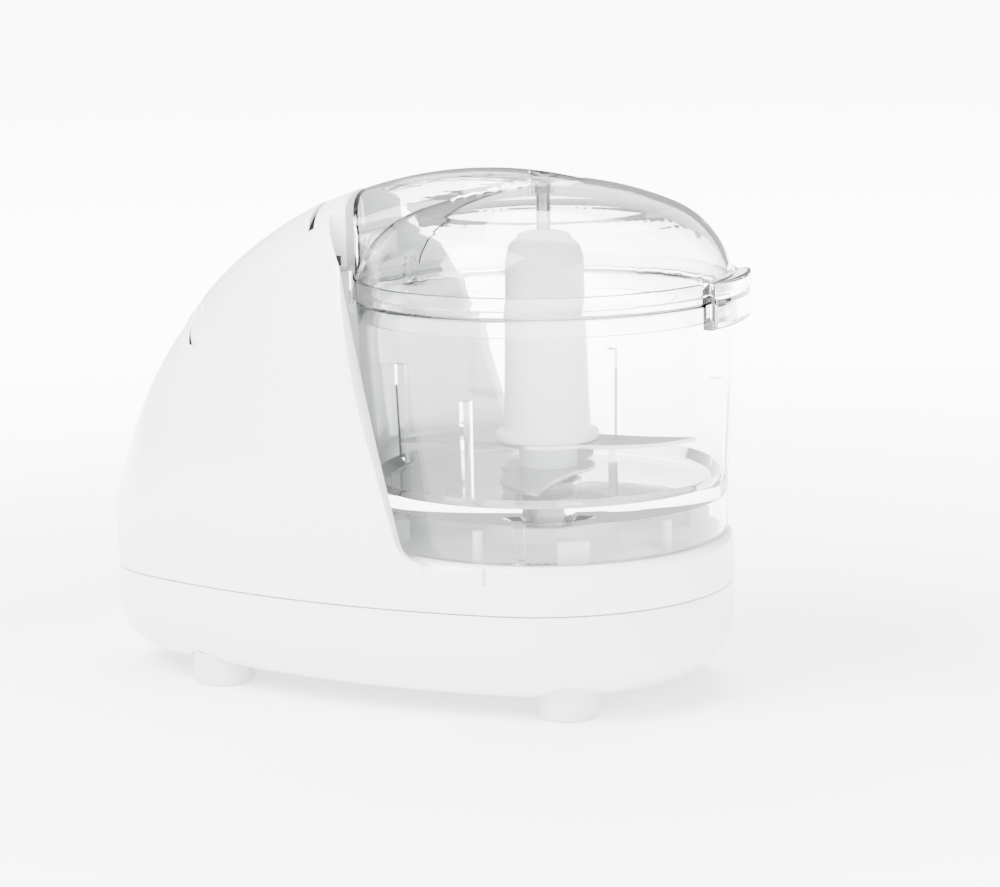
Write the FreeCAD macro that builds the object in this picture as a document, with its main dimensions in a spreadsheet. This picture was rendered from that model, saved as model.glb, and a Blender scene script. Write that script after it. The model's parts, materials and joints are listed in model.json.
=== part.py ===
"""Mini food chopper: a belt-driven base with a motor tower, a clear bowl, a clear lid and a two-blade cutter.

Millimetres. +X points from the motor tower to the bowl, +Z is up, and the feet stand on Z = 0.
The origin is the middle of the footprint; XZ is the plane of symmetry of the casing.
"""
import FreeCAD, Part
import math
import os
import re

import Sketcher
from FreeCAD import Vector

REAR_OFFSET = 112.7
REAR_RADIUS = 36.5
LUG_RADIUS = 65.0
BOWL_X = (REAR_OFFSET + REAR_RADIUS - LUG_RADIUS) / 2
MOTOR_OFFSET = 98.0

SIZES = [
    # casing
    ("bowl_x", BOWL_X, "bowl axis, from the middle of the footprint"),
    ("motor_x", BOWL_X - MOTOR_OFFSET, "motor axis"),
    ("front_radius", 58.8, "casing outline round the bowl"),
    ("rear_offset", REAR_OFFSET, "bowl axis to the centre of the rear round"),
    ("rear_radius", REAR_RADIUS, "casing outline round the tail"),
    ("side_radius", 268.1, "casing outline along the sides"),
    ("wall", 2.5, "casing wall"),
    ("tray_low", 5.7, "underside of the tray"),
    ("tray_round", 18.0, "radius along the bottom edge of the tray"),
    ("seam", 34.7, "height of the joint between tray and casing"),
    ("seam_gap", 0.4, "width of the joint line"),
    ("tongue", 1.4, "thickness of the tray's tongue behind the joint"),
    ("deck", 50.0, "top of the deck that the bowl stands on"),
    ("deck_round", 3.0, "rounding of the deck's edge"),
    ("arch_x", 17.3, "arch centre, behind the bowl axis"),
    ("arch_z", 30.2, "height of the arch centre"),
    ("arch_radius", 134.8, "arch of the back, seen from the side"),
    ("recess_low", 61.8, "hollow of the tower round the bowl, at the deck"),
    ("recess_high", 67.9, "the same hollow at the top of the lid"),
    ("front_reach", 27.5, "foot of the tower's slanted front, behind the bowl axis"),
    ("front_lean", 15.8, "slant of that front, in degrees"),
    ("front_foot", 8.0, "rounding at the foot of that front"),
    ("collar_radius", 62.2, "front of the collar"),
    ("collar_half", 22.0, "half width of the collar"),
    ("collar_low", 135.3, "underside of the collar"),
    ("clearance", 0.3, "gap between parts that move past each other"),
    ("slide_fit", 0.06, "gap of a running fit"),
    # button
    ("button_rear", 115.0, "rear end of the button, behind the bowl axis"),
    ("button_front", 74.0, "front end of the button, round the bowl axis"),
    ("button_half", 24.5, "half width of the button"),
    ("button_proud", 0.9, "button above the casing"),
    ("button_skin", 2.2, "thickness of the button"),
    ("button_gap", 0.6, "gap at the button's sides"),
    ("button_nose_gap", 1.8, "gap in front of the button"),
    ("surround", 0.45, "raised frame round the button"),
    ("surround_wide", 5.5, "width of that frame"),
    ("pivot_x", 110.5, "button pivot, behind the bowl axis"),
    ("pivot_z", 120.2, "height of the button pivot"),
    ("pin_radius", 1.2, "button pivot pin"),
    # feet
    ("foot_radius", 9.75, "rubber foot"),
    ("foot_tall", 10.9, "rubber foot"),
    ("foot_front_x", 19.3, "front feet, ahead of the bowl axis"),
    ("foot_front_y", 39.0, "front feet, from the middle"),
    ("foot_rear_x", 103.0, "rear feet, behind the bowl axis"),
    ("foot_rear_y", 27.5, "rear feet, from the middle"),
    # belt drive
    ("belt_low", 18.0, "lower edge of the belt"),
    ("belt_wide", 10.0, "width of the belt"),
    ("belt_thick", 1.4, "thickness of the belt"),
    ("small_pulley", 7.2, "motor pulley"),
    ("large_pulley", 36.0, "output pulley"),
    ("spindle_radius", 5.0, "output spindle"),
    ("spindle_top", 132.0, "top of the drive hexagon"),
    ("hexagon", 4.8, "drive hexagon, across its corners, half"),
    # motor
    ("shaft_radius", 3.0, "motor shaft"),
    ("core_low", 56.0, "underside of the stator core"),
    ("core_high", 84.0, "top of the stator core"),
    ("core_radius", 26.0, "stator core"),
    ("rotor_radius", 15.0, "armature"),
    # bowl, lid and cutter
    ("skirt_radius", 56.9, "bowl skirt"),
    ("floor_radius", 57.2, "bowl wall at its floor"),
    ("rim_radius", 59.6, "bowl wall at its rim"),
    ("bowl_wall", 2.2, "bowl wall"),
    ("floor_low", 62.4, "underside of the bowl floor"),
    ("floor_high", 67.2, "top of the bowl floor"),
    ("bowl_high", 125.5, "bowl rim"),
    ("chimney_radius", 8.2, "tube in the middle of the bowl"),
    ("chimney_high", 117.0, "top of that tube"),
    ("rib_high", 100.0, "top of the ribs on the bowl wall"),
    ("lug_radius", LUG_RADIUS, "front lug of the lid"),
    ("lid_low", 125.8, "lower edge of the lid"),
    ("lid_radius", 60.6, "lower edge of the lid"),
    ("crown_radius", 105.0, "middle of the lid's dome"),
    ("shoulder_radius", 30.0, "edge of the lid's dome"),
    ("dome_radius", 59.9, "lid where the dome starts"),
    ("band_high", 132.4, "top of the band round the lid's rim"),
    ("lid_high", 162.4, "top of the dome"),
    ("lid_wall", 2.0, "lid wall"),
    ("fin_half", 26.0, "half width of the lid's fin"),
    ("fin_round", 14.0, "height of the fin's rounded top"),
    ("flange_radius", 16.4, "cutter flange"),
    ("flange_low", 79.7, "underside of the cutter flange"),
    ("hub_foot", 68.2, "lower end of the cutter hub"),
    ("blade_thick", 1.2, "blades"),
    ("blade_reach", 47.0, "blade tips, from the bowl axis"),
]

doc = FreeCAD.newDocument("mini_chopper")
sheet = doc.addObject("Spreadsheet::Sheet", "sizes")
for row, (alias, value, meaning) in enumerate(SIZES, start=1):
    sheet.set(f"A{row}", meaning)
    sheet.set(f"B{row}", repr(float(value)))
    sheet.setAlias(f"B{row}", alias)
doc.recompute()

nodes = []


def size(alias):
    """The value of one cell."""
    return float(getattr(sheet, alias))


def bind(text):
    """An expression on the sheet's aliases, written out in full."""
    return re.sub(r"\b([a-z][a-z_]+)\b", r"sizes.\1", text)


def bound(thing, **formulas):
    """Ties properties of an object to the sheet; x, y and z place it."""
    for key, text in formulas.items():
        path = f"Placement.Base.{key}" if key in "xyz" else key
        thing.setExpression(path, bind(str(text)))
    return thing


def node(thing, name):
    """Names a finished sub-part."""
    thing.Label = name
    nodes.append(thing)
    return thing


# ---- bound primitives ----

def block(name, x, y, z, length, width, height):
    thing = doc.addObject("Part::Box", name)
    return bound(thing, x=x, y=y, z=z, Length=length, Width=width, Height=height)


def rod(name, x, y, z, radius, height):
    thing = doc.addObject("Part::Cylinder", name)
    return bound(thing, x=x, y=y, z=z, Radius=radius, Height=height)


def cut(name, base, *tools):
    thing = doc.addObject("Part::Cut", name)
    thing.Base = base
    thing.Tool = tools[0] if len(tools) == 1 else join(name + "_tools", *tools)
    return thing


def join(name, *shapes):
    thing = doc.addObject("Part::MultiFuse", name)
    thing.Shapes = list(shapes)
    return thing


def overlap(name, *shapes):
    thing = doc.addObject("Part::MultiCommon", name)
    thing.Shapes = list(shapes)
    return thing


def group(name, shapes):
    """Separate solids that share one node."""
    thing = doc.addObject("Part::Compound", name)
    thing.Links = list(shapes)
    return thing


def turned(name, outline, x):
    """A body turned about a vertical axis, from the radius and height of each corner."""
    body = doc.addObject("PartDesign::Body", name)
    sketch = body.newObject("Sketcher::SketchObject", name + "_outline")
    plane = next(o for o in body.Origin.OriginFeatures if o.Role == "XZ_Plane")
    sketch.AttachmentSupport = [(plane, "")]
    sketch.MapMode = "FlatFace"
    formulas = [(bind(radius), bind(height)) for radius, height in outline]
    corners = [(float(sketch.evalExpression(r)), float(sketch.evalExpression(h))) for r, h in formulas]
    count = len(corners)
    for at in range(count):
        start = Vector(*corners[at], 0)
        end = Vector(*corners[(at + 1) % count], 0)
        sketch.addGeometry(Part.LineSegment(start, end), False)
    for at in range(count):
        sketch.addConstraint(Sketcher.Constraint("Coincident", at, 2, (at + 1) % count, 1))
    for at in range(count):
        for kind, formula, value, axis in (
            ("DistanceX", formulas[at][0], corners[at][0], -2),
            ("DistanceY", formulas[at][1], corners[at][1], -1),
        ):
            if abs(value) < 1e-9:
                sketch.addConstraint(Sketcher.Constraint("PointOnObject", at, 1, axis))
                continue
            made = sketch.addConstraint(Sketcher.Constraint(kind, -1, 1, at, 1, value))
            sketch.setExpression(f"Constraints[{made}]", formula)
    spin = body.newObject("PartDesign::Revolution", name + "_turn")
    spin.Profile = sketch
    spin.ReferenceAxis = (sketch, ["V_Axis"])
    spin.Angle = 360
    return bound(body, x=x)


def shaped(name, shape):
    """A sub-part whose form is worked out below; its placement carries it to the bowl axis."""
    thing = doc.addObject("Part::Feature", name)
    thing.Shape = shape
    to_axis = FreeCAD.Placement(Vector(size("bowl_x"), 0, 0), FreeCAD.Rotation())
    thing.Placement = to_axis.multiply(shape.Placement)
    return node(thing, name)


# ---- shapes about the bowl axis, for the moulded parts ----

UP = Vector(0, 0, 1)
TALL = 200.0


def cylinder(radius, low, high, x=0.0, y=0.0):
    return Part.makeCylinder(radius, high - low, Vector(x, y, low))


def brick(x_low, x_high, y_low, y_high, low, high):
    return Part.makeBox(x_high - x_low, y_high - y_low, high - low, Vector(x_low, y_low, low))


def ring(inner, outer, low, high, x=0.0):
    return cylinder(outer, low, high, x).cut(cylinder(inner, low - 1, high + 1, x))


def cross_rod(radius, half, middle):
    """A rod from side to side."""
    return Part.makeCylinder(radius, 2 * half, middle - Vector(0, half, 0), Vector(0, 1, 0))


def sector(inner, outer, low, high, middle, half):
    """Part of a ring, between two angles in degrees."""
    wedge = Part.makeCylinder(outer, high - low, Vector(0, 0, low), UP, 2 * half)
    wedge.rotate(Vector(), UP, middle - half)
    return wedge.cut(cylinder(inner, low - 1, high + 1))


def egg(inset, low, high):
    """The casing's outline, drawn in from the outside by inset: two rounds and two long arcs, all tangent."""
    front = size("front_radius") - inset
    rear = size("rear_radius") - inset
    side = size("side_radius") - inset
    length = size("rear_offset")
    to_front = side - front
    to_rear = side - rear
    centre_x = -(to_front ** 2 - to_rear ** 2 + length ** 2) / (2 * length)
    centre_y = math.sqrt(to_front ** 2 - centre_x ** 2)

    def touch(round_x, gap, hand):
        """Where the long arc meets a round."""
        x = centre_x + side * (round_x - centre_x) / gap
        y = -centre_y + side * centre_y / gap
        return Vector(x, hand * y, low)

    front_left = touch(0, to_front, 1)
    front_right = touch(0, to_front, -1)
    rear_left = touch(-length, to_rear, 1)
    rear_right = touch(-length, to_rear, -1)
    widest = side - centre_y
    edges = [
        Part.Arc(front_right, Vector(front, 0, low), front_left),
        Part.Arc(front_left, Vector(centre_x, widest, low), rear_left),
        Part.Arc(rear_left, Vector(-length - rear, 0, low), rear_right),
        Part.Arc(rear_right, Vector(centre_x, -widest, low), front_right),
    ]
    outline = Part.Wire([edge.toShape() for edge in edges])
    return Part.Face(outline).extrude(Vector(0, 0, high - low))


ARCH_FIRST, ARCH_LAST, ARCH_STATIONS = 192.0, 100.0, 12
ARCH_CORE = 8.0
ARCH_SPREAD = 1.03
TAIL_START, TAIL_END = 140.0, 172.0
REACH_START, REACH_END = 166.0, 178.0
TAIL_REACH, TAIL_SPREAD, TAIL_POWER = 7.0, 0.10, 6.0
ARCH_POWER = 4.0
PROFILE_STEPS = 8


def side_width(x):
    """Half width of the casing's long arcs at x."""
    side = size("side_radius")
    to_front = side - size("front_radius")
    to_rear = side - size("rear_radius")
    length = size("rear_offset")
    centre_x = -(to_front ** 2 - to_rear ** 2 + length ** 2) / (2 * length)
    centre_y = math.sqrt(to_front ** 2 - centre_x ** 2)
    return math.sqrt(side ** 2 - (x - centre_x) ** 2) - centre_y


def ramp(value, start, end):
    """0 up to start, 1 past end, straight between."""
    return min(max((value - start) / (end - start), 0.0), 1.0)


def arch(inset):
    """The tower: cross-sections fanned about the arch centre, each rounded over from side to side."""
    sections = []
    for station in range(ARCH_STATIONS + 1):
        degrees = ARCH_FIRST + (ARCH_LAST - ARCH_FIRST) * station / ARCH_STATIONS
        tail = ramp(degrees, TAIL_START, TAIL_END)
        reach = size("arch_radius") + TAIL_REACH * ramp(degrees, REACH_START, REACH_END) - inset
        power = ARCH_POWER + TAIL_POWER * tail
        spread = ARCH_SPREAD + TAIL_SPREAD * tail
        angle = math.radians(degrees)
        half = []
        for step in range(PROFILE_STEPS + 1):
            along = ARCH_CORE + (reach - ARCH_CORE) * math.sin(math.pi / 2 * step / PROFILE_STEPS)
            x = -size("arch_x") + along * math.cos(angle)
            z = size("arch_z") + along * math.sin(angle)
            width = spread * (side_width(x) - inset) * math.sqrt(max(1 - (along / reach) ** power, 0.0))
            half.append((x, width, z))
        points = [Vector(x, -y, z) for x, y, z in half] + [Vector(x, y, z) for x, y, z in reversed(half[:-1])]
        curve = Part.BSplineCurve()
        curve.interpolate(points)
        closing = Part.LineSegment(points[-1], points[0])
        sections.append(Part.Wire([curve.toShape(), closing.toShape()]))
    return Part.makeLoft(sections, True, False)


def tower(inset, low):
    """Arch and outline together."""
    return arch(inset).common(egg(inset, low, TALL))


def recess(grow):
    """The space that the tower leaves for the bowl: a cone, and a slanted front with a round foot."""
    low, lean = size("deck") - grow, math.tan(math.radians(size("front_lean")))
    foot_radius = size("front_foot")
    spread = (TALL - low) * (size("recess_high") - size("recess_low")) / (size("lid_high") - size("deck"))
    narrow = size("recess_low") + grow
    cone = Part.makeCone(narrow, narrow + spread, TALL - low, Vector(0, 0, low))
    foot = Vector(-size("front_reach") - grow, -90, low)
    top = Vector(foot.x - lean * (TALL - low), -90, TALL)
    ahead = Vector(90, 0, 0)
    outline = Part.makePolygon([foot, top, top + ahead * 2, foot + ahead, foot])
    wedge = Part.Face(outline).extrude(Vector(0, 180, 0))
    corner = [e for e in wedge.Edges if all(abs(v.X - foot.x) + abs(v.Z - low) < 1e-6 for v in e.Vertexes)]
    return cone.fuse(wedge.makeFillet(foot_radius, corner))


def rounded(solid, radius, at_height):
    """Rounds the outer edges that lie at one height."""
    edges = [e for e in solid.Edges if all(abs(v.Z - at_height) < 1e-6 for v in e.Vertexes)]
    return solid.makeFillet(radius, edges)


FEET = [
    (size("foot_front_x"), size("foot_front_y")),
    (size("foot_front_x"), -size("foot_front_y")),
    (-size("foot_rear_x"), size("foot_rear_y")),
    (-size("foot_rear_x"), -size("foot_rear_y")),
]
WELL_HIGH = 11.2
POST_LOW = 17.3
POST_RADIUS = 3.9
SCREW_RADIUS = 1.5
SCREW_HEAD = 3.2
BEARING_OUTER = 9.0
BASE_REAR = -45.0
GLAND_Z = 48.0
GLAND_RADIUS = 5.6
CLAMP_X, CLAMP_LOW = -132.25, 41.0
MOUNTS = [(-24.0, 0.0), (12.0, 20.8), (12.0, -20.8)]
MOUNT_RADIUS = 4.5
MOUNT_LOW = 29.0
PLUNGER_ANGLE = 180 + 23.0
PLUNGER_Z = 128.0
PLUNGER_RADIUS = 2.0
EAR_INNER, EAR_OUTER = 9.0, 11.0
PRESSER_X = -85.0
SPRING_X, SPRING_Z = 96.0, 122.5
SHELF_LOW, SHELF_HIGH = 118.5, 121.0
BOSS_RADIUS, BOSS_LOW, BOSS_HIGH = 5.0, 156.8, 162.8
BUSH_OUTER = 3.6
HEM_ROUND = 0.9
BAND_SLOPE = 0.15
SOCKET_HIGH = 134.0
RIB_ANGLES = (-96.6, 4.9, 86.0, 172.0)


def make_tray():
    low, seam, wall = size("tray_low"), size("seam"), size("wall")
    outside = rounded(egg(0, low, seam - size("seam_gap")), size("tray_round"), low)
    inside = rounded(egg(wall, low + wall, seam + 1), size("tray_round") - wall, low + wall)
    shape = outside.cut(inside)
    tongue_out = wall + 0.3
    tongue = egg(tongue_out, seam - 4, seam + 4).cut(egg(tongue_out + size("tongue"), seam - 5, seam + 5))
    root = egg(wall - 0.2, seam - 6, seam - 3).cut(egg(tongue_out + size("tongue"), seam - 7, seam - 2))
    shape = shape.fuse([tongue, root])
    for x, y in FEET:
        pad = cylinder(size("foot_radius") + wall, low, WELL_HIGH + wall, x, y)
        boss = cylinder(SCREW_HEAD + 1.6, low, POST_LOW - 0.3, x, y)
        shape = shape.fuse(pad.fuse(boss).common(outside))
        shape = shape.cut(cylinder(size("foot_radius") + 0.25, 0, WELL_HIGH, x, y))
        shape = shape.cut(cylinder(SCREW_HEAD + 0.2, 0, POST_LOW - 3, x, y))
        shape = shape.cut(cylinder(SCREW_RADIUS + 0.3, 0, TALL, x, y))
    cup = ring(BEARING_OUTER, BEARING_OUTER + wall, low + wall / 2, low + wall + 5)
    shape = shape.fuse(cup)
    for x, y in MOUNTS:
        shape = shape.fuse(cylinder(MOUNT_RADIUS, low + wall / 2, MOUNT_LOW, x - MOTOR_OFFSET, y))
    for y in (-6.5, 6.5):
        shape = shape.fuse(cylinder(2.2, low + wall / 2, CLAMP_LOW, CLAMP_X, y))
    return shaped("base_tray", shape.removeSplitter())


def button_plan(grow, nose):
    """The button seen from above: straight sides, a round rear and a nose concentric with the bowl."""
    half = size("button_half") + grow
    rear = -size("button_rear") - grow
    front = size("button_front") - nose
    plate = brick(rear, 0, -half, half, 90, TALL)
    corners = [e for e in plate.Edges if all(abs(v.X - rear) < 1e-6 for v in e.Vertexes)
               and abs(e.Vertexes[0].Z - e.Vertexes[1].Z) > 1]
    plate = plate.makeFillet(8.0, corners)
    return plate.cut(cylinder(front, 80, TALL + 10))


def make_housing():
    seam, deck, wall = size("seam"), size("deck"), size("wall")
    base = rounded(egg(0, seam, deck), size("deck_round"), deck)
    base = base.common(brick(BASE_REAR, 90, -90, 90, 0, TALL))
    outside = base.fuse(tower(0, seam))
    collar = brick(-90, 0, -size("collar_half"), size("collar_half"), size("collar_low"), TALL)
    collar = collar.cut(cylinder(size("collar_radius"), 100, TALL + 10))
    cavity = tower(wall, seam - 6).cut(recess(wall)).fuse(egg(wall, seam - 6, deck - wall))
    bowl_room = recess(0).cut(collar)
    shape = outside.cut(bowl_room).cut(cavity)
    # deck fittings: bearing cup, screw posts, bayonet blocks and locating ring under the bowl
    shape = shape.fuse(ring(BEARING_OUTER + 0.05, BEARING_OUTER + wall, deck - 12, deck - wall / 2))
    shape = shape.fuse(ring(20.0, 22.5, deck - 1, deck + 5))
    for middle in (-62.0, 28.0, 118.0, 208.0):
        shape = shape.fuse(sector(45.0, 51.5, deck - 1, deck + 6.5, middle, 5.5))
    for middle in (-97.0, -22.0, 83.0, 158.0):
        shape = shape.fuse(cylinder(1.6, deck - 1, deck + 9, 48 * math.cos(math.radians(middle)),
                                    48 * math.sin(math.radians(middle))))
    shape = shape.cut(cylinder(BEARING_OUTER + 0.05, deck - 3, deck + 1))
    for x, y in FEET:
        post = cylinder(POST_RADIUS, POST_LOW, deck - wall / 2, x, y)
        inner, outer = sorted((y, math.copysign(side_width(x), y)))
        rib = brick(x - 1, x + 1, inner, outer, seam + 4.5, deck - wall / 2)
        rib = rib.common(egg(wall / 2, seam, deck))
        shape = shape.fuse(post.fuse(rib)).cut(cylinder(SCREW_RADIUS + 0.05, POST_LOW - 1, seam, x, y))
    # raised frame round the button, its opening, the interlock holes and the cable gland hole
    frame_plan = button_plan(size("surround_wide"), size("button_front") - size("collar_radius") - 0.5)
    frame = arch(-size("surround")).common(frame_plan).cut(arch(wall)).cut(bowl_room)
    shape = shape.fuse(frame)
    shape = shape.cut(button_plan(size("button_gap"), size("button_nose_gap")))
    shape = shape.cut(radial_rod(PLUNGER_RADIUS + 0.3, 60, 75))
    shape = shape.cut(brick(-66.0, -58.0, -27.0, -23.0, 133.5, 139.5))
    gland = Part.makeCylinder(GLAND_RADIUS + 0.05, 20, Vector(-160, 0, GLAND_Z), Vector(1, 0, 0))
    shape = shape.cut(gland)
    # alignment mark on the deck's shoulder
    shape = shape.cut(brick(-0.6, 0.6, -60, -57.5, 44, 50))
    return shaped("upper_housing", shape.removeSplitter())


def radial_rod(radius, start, end):
    """A rod that points away from the bowl axis at the interlock."""
    angle = math.radians(PLUNGER_ANGLE)
    along = Vector(math.cos(angle), math.sin(angle), 0)
    return Part.makeCylinder(radius, end - start, along * start + Vector(0, 0, PLUNGER_Z), along)


def make_button():
    """A skin that follows the back, with two pivot ears and a presser underneath."""
    proud = size("button_proud")
    block_shape = arch(-proud).common(button_plan(0, 0))
    skin = block_shape.cut(arch(size("button_skin") - proud))
    pivot = Vector(-size("pivot_x"), 0, size("pivot_z"))
    ears = brick(pivot.x - 3.0, pivot.x + 3.5, EAR_INNER, EAR_OUTER, pivot.z - 3, TALL)
    ears = ears.fuse(brick(pivot.x - 3.0, pivot.x + 3.5, -EAR_OUTER, -EAR_INNER, pivot.z - 3, TALL))
    presser = brick(PRESSER_X - 3, PRESSER_X + 3, -4, 4, 137.5, TALL)
    bore = cross_rod(size("pin_radius") + size("slide_fit"), 20, pivot)
    shape = skin.fuse(ears.fuse(presser).common(block_shape)).cut(bore)
    return shaped("power_button", shape.removeSplitter())


def make_lid():
    """The dome with the fin that carries the back's arch on, its skirt, plug ring, pin boss and lugs."""
    wall = size("lid_wall")

    def dome(inset):
        crown = size("crown_radius") - inset
        shoulder = size("shoulder_radius") - inset
        edge = size("dome_radius") - inset
        crown_z = size("lid_high") - size("crown_radius")
        middle_r = edge - shoulder
        middle_z = crown_z + math.sqrt((crown - shoulder) ** 2 - middle_r ** 2)
        turn = math.atan2(middle_z - crown_z, middle_r)
        meet = Vector(crown * math.cos(turn), 0, crown_z + crown * math.sin(turn))
        top = Vector(0, 0, crown_z + crown)
        half_turn = (turn + math.pi / 2) / 2
        on_crown = Vector(crown * math.cos(half_turn), 0, crown_z + crown * math.sin(half_turn))
        on_shoulder = Vector(math.cos(turn / 2), 0, math.sin(turn / 2)) * shoulder
        on_shoulder = on_shoulder + Vector(middle_r, 0, middle_z)
        brow = Vector(edge, 0, middle_z)
        above_band = Vector(edge, 0, size("band_high") + BAND_SLOPE - inset / 4)
        band = Vector(size("lid_radius") - inset, 0, size("band_high") - inset / 4)
        hem = Vector(size("lid_radius") - inset, 0, size("lid_low") + HEM_ROUND)
        under_hem = Vector(hem.x - HEM_ROUND, 0, size("lid_low"))
        on_hem = Vector(under_hem.x + HEM_ROUND * math.sqrt(0.5), 0, hem.z - HEM_ROUND * math.sqrt(0.5))
        foot = Vector(0, 0, size("lid_low"))
        edges = [
            Part.Arc(top, on_crown, meet),
            Part.Arc(meet, on_shoulder, brow),
            Part.LineSegment(brow, above_band),
            Part.LineSegment(above_band, band),
            Part.LineSegment(band, hem),
            Part.Arc(hem, on_hem, under_hem),
            Part.LineSegment(under_hem, foot),
            Part.LineSegment(foot, top),
        ]
        profile = Part.Face(Part.Wire([edge.toShape() for edge in edges]))
        return profile.revolve(Vector(), UP, 360)

    def fin(inset):
        reach = size("arch_radius") - inset
        half = size("fin_half") - inset
        centre = Vector(-size("arch_x"), 0, size("arch_z"))
        spring = reach - size("fin_round")
        oval_centre = centre + Vector(0, 0, spring)
        oval = Part.Ellipse(oval_centre + Vector(0, half, 0), centre + Vector(0, 0, reach), oval_centre)
        crest = Part.ArcOfEllipse(oval, 0.0, math.pi)
        start, end = crest.StartPoint, crest.EndPoint
        drop = Vector(0, 0, -30)
        edges = [
            crest,
            Part.LineSegment(end, end + drop),
            Part.LineSegment(end + drop, start + drop),
            Part.LineSegment(start + drop, start),
        ]
        profile = Part.Face(Part.Wire([edge.toShape() for edge in edges]))
        profile.rotate(centre, Vector(0, 1, 0), -40)
        whole = profile.revolve(centre, Vector(0, 1, 0), 60)
        return whole.common(cylinder(size("rim_radius") - inset, size("lid_low") + 4, TALL))

    plug_out = size("rim_radius") - size("bowl_wall") - size("clearance")
    outside = dome(0).fuse(fin(0))
    inside = dome(wall).fuse(fin(wall))
    floor = cylinder(plug_out - wall, 100, size("lid_low") + 4)
    shape = outside.fuse(cylinder(plug_out, size("lid_low") - 6, size("lid_low") + 1)).cut(inside).cut(floor)
    boss = ring(BUSH_OUTER + 0.05, BOSS_RADIUS, BOSS_LOW, BOSS_HIGH).common(outside)
    seat = ring(plug_out - wall, size("dome_radius") - wall / 2, size("lid_low"), size("lid_low") + wall)
    shape = shape.fuse([boss, seat])
    front = sector(size("lid_radius") - 0.8, size("lug_radius"), 118.5, 133.0, 0, 18)
    outermost = size("lug_radius") - 0.01
    corners = [e for e in front.Edges if all(math.hypot(v.X, v.Y) > outermost for v in e.Vertexes)]
    front = front.makeFillet(1.2, corners).cut(cylinder(size("rim_radius") + 1.3, 100, size("lid_low")))
    shape = shape.fuse(front)
    rear = sector(size("lid_radius") - 0.8, 61.8, 124.0, 134.4, 180, 23.5)
    ends = sector(size("lid_radius") - 0.8, 64.6, 121.0, 134.4, 180 - 22.5, 1.2)
    ends = ends.fuse(sector(size("lid_radius") - 0.8, 64.6, 121.0, 134.4, 180 + 22.5, 1.2))
    rear = rear.fuse(ends).cut(cylinder(size("rim_radius") + 0.7, 100, size("lid_low")))
    dimple = cylinder(2.6, size("lid_high") + 0.8, TALL)
    shape = shape.fuse(rear).cut(dimple)
    return shaped("lid", shape.removeSplitter())


def prism(corners_radius, low, high):
    """A hexagonal prism on the bowl axis."""
    points = []
    for corner in range(7):
        angle = math.radians(60 * corner)
        points.append(Vector(corners_radius * math.cos(angle), corners_radius * math.sin(angle), low))
    return Part.Face(Part.makePolygon(points)).extrude(Vector(0, 0, high - low))


def eased(shape, radius, rings):
    """The shape with its circular edges at the given radii and heights rounded."""
    def wanted(edge):
        spot = edge.valueAt(edge.FirstParameter)
        reach = math.hypot(spot.x, spot.y)
        near = any(abs(reach - r) < 0.01 and abs(spot.z - z) < 0.01 for r, z in rings)
        return len(edge.Vertexes) == 1 and near

    return shape.makeFillet(radius, [edge for edge in shape.Edges if wanted(edge)])


def make_bowl():
    """Wall, skirt, floor and chimney are turned; ribs and rim lugs are added."""
    body = turned("bowl_turned", [
        ("skirt_radius", "deck + clearance"),
        ("floor_radius", "floor_high"),
        ("rim_radius", "bowl_high"),
        ("rim_radius - bowl_wall", "bowl_high"),
        ("floor_radius - bowl_wall", "floor_high + 3"),
        ("floor_radius - bowl_wall - 3", "floor_high"),
        ("chimney_radius + 1.5", "floor_high"),
        ("chimney_radius", "floor_high + 1"),
        ("chimney_radius", "chimney_high"),
        ("spindle_radius + 0.6", "chimney_high"),
        ("spindle_radius + 0.6", "floor_low"),
        ("chimney_radius + 0.1", "floor_low"),
        ("chimney_radius + 0.1", "floor_low - 7"),
        ("chimney_radius + 2.4", "floor_low - 7"),
        ("chimney_radius + 2.4", "floor_low"),
        ("skirt_radius - bowl_wall", "floor_low"),
        ("skirt_radius - bowl_wall", "deck + clearance"),
    ], "0")
    doc.recompute()
    inner = size("floor_radius") - size("bowl_wall")
    shape = eased(body.Shape.copy(), 0.7, [
        (size("rim_radius"), size("bowl_high")),
        (size("rim_radius") - size("bowl_wall"), size("bowl_high")),
        (size("skirt_radius"), size("deck") + size("clearance")),
        (size("chimney_radius"), size("chimney_high")),
    ])
    for middle in RIB_ANGLES:
        rib = sector(inner - 2.6, inner + 1.0, size("floor_high") - 0.5, size("rib_high"), middle, 1.3)
        shape = shape.fuse(rib)
    lug = sector(size("rim_radius") - 1.2, size("rim_radius") + 0.9, 119.0, 125.0, 0, 13)
    shape = shape.fuse(lug)
    for middle in (-80.0, 10.0, 100.0, 190.0):
        shape = shape.fuse(sector(52.2, 55.2, size("deck") + 1.5, size("floor_low") + 1, middle, 2.0))
    return shaped("bowl", shape.removeSplitter())


def blade(low, first):
    """A swept-back pair: each blade is bounded by two arcs that meet at its tip."""
    reach = size("blade_reach")
    shape = ring(size("chimney_radius") + 1.2, 15.0, low, low + size("blade_thick"))
    for turn in (first, first + 180):
        tip = Vector(reach, 0, low)
        front_root = Vector(9.0, -11.5, low)
        rear_root = Vector(4.0, 13.5, low)
        leading = Part.Arc(front_root, Vector(29.0, -12.5, low), tip)
        trailing = Part.Arc(tip, Vector(27.0, 3.5, low), rear_root)
        root = Part.LineSegment(rear_root, front_root)
        face = Part.Face(Part.Wire([leading.toShape(), trailing.toShape(), root.toShape()]))
        arm = face.extrude(Vector(0, 0, size("blade_thick"))).cut(cylinder(13.0, low - 1, low + 5))
        arm.rotate(Vector(), UP, turn)
        shape = shape.fuse(arm)
    return shape.removeSplitter()


def make_blades():
    shaped("upper_blade", blade(size("flange_low") - 1.5, 196.0))
    shaped("lower_blade", blade(size("hub_foot") + 1.6, 106.0))


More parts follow.
